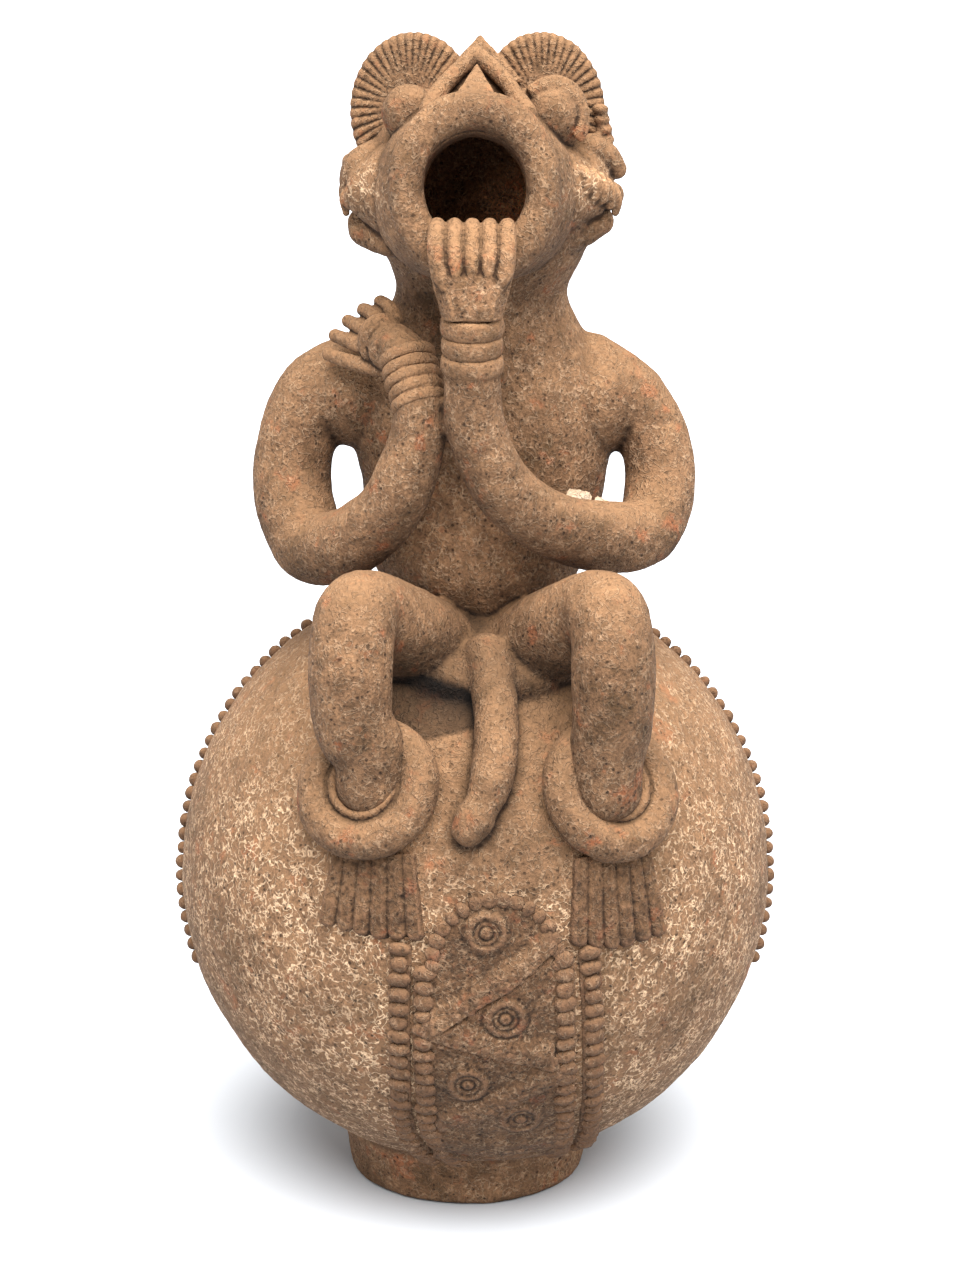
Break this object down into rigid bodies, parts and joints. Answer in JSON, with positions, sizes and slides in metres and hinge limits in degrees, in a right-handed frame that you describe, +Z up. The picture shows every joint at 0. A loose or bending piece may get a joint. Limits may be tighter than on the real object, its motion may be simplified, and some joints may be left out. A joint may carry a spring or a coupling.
{
  "type": "terracotta effigy vessel",
  "caption": "Hollow round terracotta pot on a ring foot, topped by a seated figure whose wide open mouth is the vessel's mouth.",
  "frame": {"origin": "centre of the bounding box, on the ground under the ring foot", "axes": "+Z up; the figure faces -Y, so +X is the figure's left"},
  "size_m": [0.3721, 0.3726, 0.7233],
  "materials": {
    "terracotta": "unglazed low-fired clay, gritty and worn, with pale and orange specks and earth in the hollows"
  },
  "bodies": {
    "root": {"effigy_vessel": "terracotta"}
  },
  "joints": []
}
